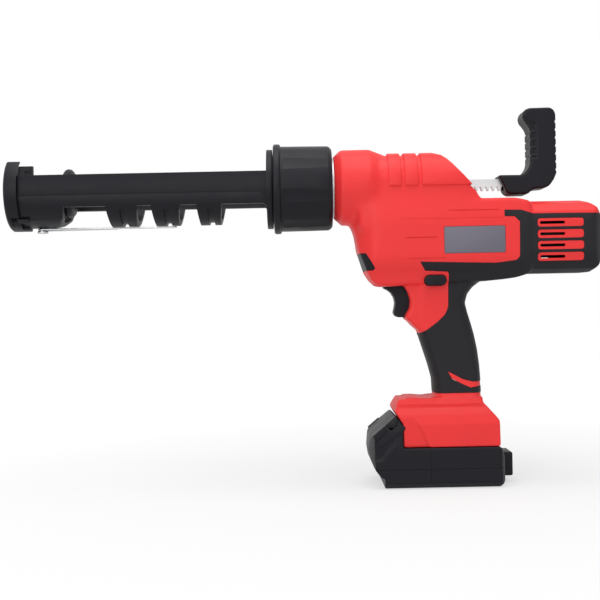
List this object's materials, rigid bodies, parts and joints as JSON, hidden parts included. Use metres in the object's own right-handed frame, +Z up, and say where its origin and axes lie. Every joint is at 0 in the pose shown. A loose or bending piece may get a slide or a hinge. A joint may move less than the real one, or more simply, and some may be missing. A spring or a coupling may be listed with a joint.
{
  "type": "cordless caulking tool",
  "caption": "Pistol-grip battery caulking tool: a rack and plunger push a cartridge held in an open swivelling trough behind a slotted front plate.",
  "frame": {"origin": "on the flat underside of the battery, on which the tool stands, in the tool's middle plane", "axes": "+Z up, -X towards the nozzle end along the barrel, -Y to the operator's left"},
  "size_m": [0.5238, 0.0804, 0.3326],
  "materials": {
    "red_shell": "satin moulded",
    "black_rubber": "matt overmoulded",
    "black_plastic": "satin moulded",
    "grey_plate": "satin",
    "dark_lens": "gloss",
    "steel": "brushed",
    "cast_alloy": "cast",
    "brass": "machined",
    "copper": "drawn",
    "magnet": "sintered",
    "carbon": "pressed",
    "cell_wrap": "film",
    "board": "lacquered"
  },
  "bodies": {
    "root": {"housing_left": "red_shell", "housing_right": "red_shell", "rubber_grip_left": "black_rubber", "rubber_grip_right": "black_rubber", "label_plate_left": "grey_plate", "label_plate_right": "grey_plate", "housing_screws": "steel", "lamp_window": "dark_lens", "lamp_board": "board", "gear_case": "cast_alloy", "gear_case_cover": "cast_alloy", "cover_screws": "steel", "rod_bush": "brass", "shaft_bearings": "steel", "ring_gear": "steel", "motor_can": "steel", "motor_end_bell": "black_plastic", "motor_magnets": "magnet", "carbon_brushes": "carbon", "trigger_spring": "steel", "switch_body": "black_plastic", "control_board": "board", "terminal_block": "brass"},
    "cradle": {"cradle": "black_plastic", "front_plate": "black_plastic", "cutter_blade": "steel", "wire_screw": "steel"},
    "collar": {"collar": "black_plastic"},
    "wire": {"piercing_wire": "steel"},
    "push_rod": {"push_rod": "steel", "plunger_disc": "black_plastic", "plunger_backing": "black_plastic", "plunger_nut": "steel", "pull_handle": "black_plastic", "handle_pin": "steel"},
    "pinion": {"rack_pinion": "steel"},
    "clutch": {"clutch_plate": "steel"},
    "drive_wheel": {"drive_wheel": "steel"},
    "idler": {"idler_shaft": "steel", "crown_gear": "steel"},
    "carrier": {"planet_carrier": "steel"},
    "planet_1": {"planet_gear_1": "brass"},
    "planet_2": {"planet_gear_2": "brass"},
    "planet_3": {"planet_gear_3": "brass"},
    "rotor": {"motor_shaft": "steel", "armature": "steel", "armature_windings": "copper", "commutator": "copper", "cooling_fan": "black_plastic"},
    "trigger": {"trigger": "black_plastic"},
    "cross_button": {"cross_button": "black_plastic"},
    "battery": {"battery_case": "black_plastic", "battery_cover": "black_plastic", "battery_gauge": "black_plastic", "battery_cells": "cell_wrap", "battery_board": "board", "latch_spring_left": "steel", "latch_spring_right": "steel"},
    "latch_left": {"battery_latch_left": "black_plastic"},
    "latch_right": {"battery_latch_right": "black_plastic"}
  },
  "joints": [
    {"name": "rod_slide", "type": "slide", "parent": "root", "child": "push_rod", "axis": [1, 0, 0], "range_m": [-0.026, 0.165]},
    {"name": "pinion_turn", "type": "hinge", "parent": "root", "child": "pinion", "pos_m": [-0.014, 0, 0.25054], "axis": [0, 1, 0], "range_deg": [-134, 846]},
    {"name": "clutch_shift", "type": "slide", "parent": "pinion", "child": "clutch", "axis": [0, -1, 0], "range_m": [0, 0.001], "stiffness_N_per_m": 800, "springref_m": -0.001},
    {"name": "motor_spin", "type": "hinge", "parent": "root", "child": "rotor", "pos_m": [0.06, 0, 0.21754], "axis": [1, 0, 0], "continuous": true},
    {"name": "carrier_turn", "type": "hinge", "parent": "root", "child": "carrier", "pos_m": [0.045, 0, 0.21754], "axis": [1, 0, 0], "continuous": true},
    {"name": "planet_1_turn", "type": "hinge", "parent": "carrier", "child": "planet_1", "pos_m": [0.052, 0, 0.22954], "axis": [1, 0, 0], "continuous": true},
    {"name": "planet_2_turn", "type": "hinge", "parent": "carrier", "child": "planet_2", "pos_m": [0.052, -0.01039, 0.21154], "axis": [1, 0, 0], "continuous": true},
    {"name": "planet_3_turn", "type": "hinge", "parent": "carrier", "child": "planet_3", "pos_m": [0.052, 0.01039, 0.21154], "axis": [1, 0, 0], "continuous": true},
    {"name": "idler_turn", "type": "hinge", "parent": "root", "child": "idler", "pos_m": [-0.014, 0, 0.21754], "axis": [0, 1, 0], "continuous": true},
    {"name": "drive_wheel_turn", "type": "hinge", "parent": "root", "child": "drive_wheel", "pos_m": [-0.014, 0, 0.25054], "axis": [0, 1, 0], "continuous": true},
    {"name": "cradle_swivel", "type": "hinge", "parent": "root", "child": "cradle", "pos_m": [-0.147, 0, 0.2653], "axis": [1, 0, 0], "continuous": true},
    {"name": "collar_turn", "type": "hinge", "parent": "root", "child": "collar", "pos_m": [-0.12, 0, 0.2653], "axis": [1, 0, 0], "range_deg": [0, 180]},
    {"name": "wire_swing", "type": "hinge", "parent": "cradle", "child": "wire", "pos_m": [-0.352, 0, 0.233], "axis": [0, 0, -1], "range_deg": [0, 115]},
    {"name": "trigger_pull", "type": "slide", "parent": "root", "child": "trigger", "axis": [1, 0, 0], "range_m": [0, 0.006], "stiffness_N_per_m": 800, "springref_m": -0.004, "deforming": ["trigger_spring"]},
    {"name": "cross_button_slide", "type": "slide", "parent": "root", "child": "cross_button", "axis": [0, 1, 0], "range_m": [-0.003, 0.003]},
    {"name": "battery_slide", "type": "slide", "parent": "root", "child": "battery", "axis": [-1, 0, 0], "range_m": [0, 0.09]},
    {"name": "latch_left_press", "type": "slide", "parent": "battery", "child": "latch_left", "axis": [0, 1, 0], "range_m": [0, 0.0025], "stiffness_N_per_m": 500, "springref_m": -0.002, "deforming": ["latch_spring_left"]},
    {"name": "latch_right_press", "type": "slide", "parent": "battery", "child": "latch_right", "axis": [0, -1, 0], "range_m": [0, 0.0025], "stiffness_N_per_m": 500, "springref_m": -0.002, "deforming": ["latch_spring_right"]}
  ],
  "couplings": [
    {"joint": "pinion_turn", "follows": "rod_slide", "rad_per_m": 89.286},
    {"joint": "carrier_turn", "follows": "motor_spin", "ratio": 0.2},
    {"joint": "planet_1_turn", "follows": "motor_spin", "ratio": -0.53333},
    {"joint": "planet_2_turn", "follows": "motor_spin", "ratio": -0.53333},
    {"joint": "planet_3_turn", "follows": "motor_spin", "ratio": -0.53333},
    {"joint": "idler_turn", "follows": "motor_spin", "ratio": -0.066667},
    {"joint": "drive_wheel_turn", "follows": "motor_spin", "ratio": 0.031111}
  ]
}
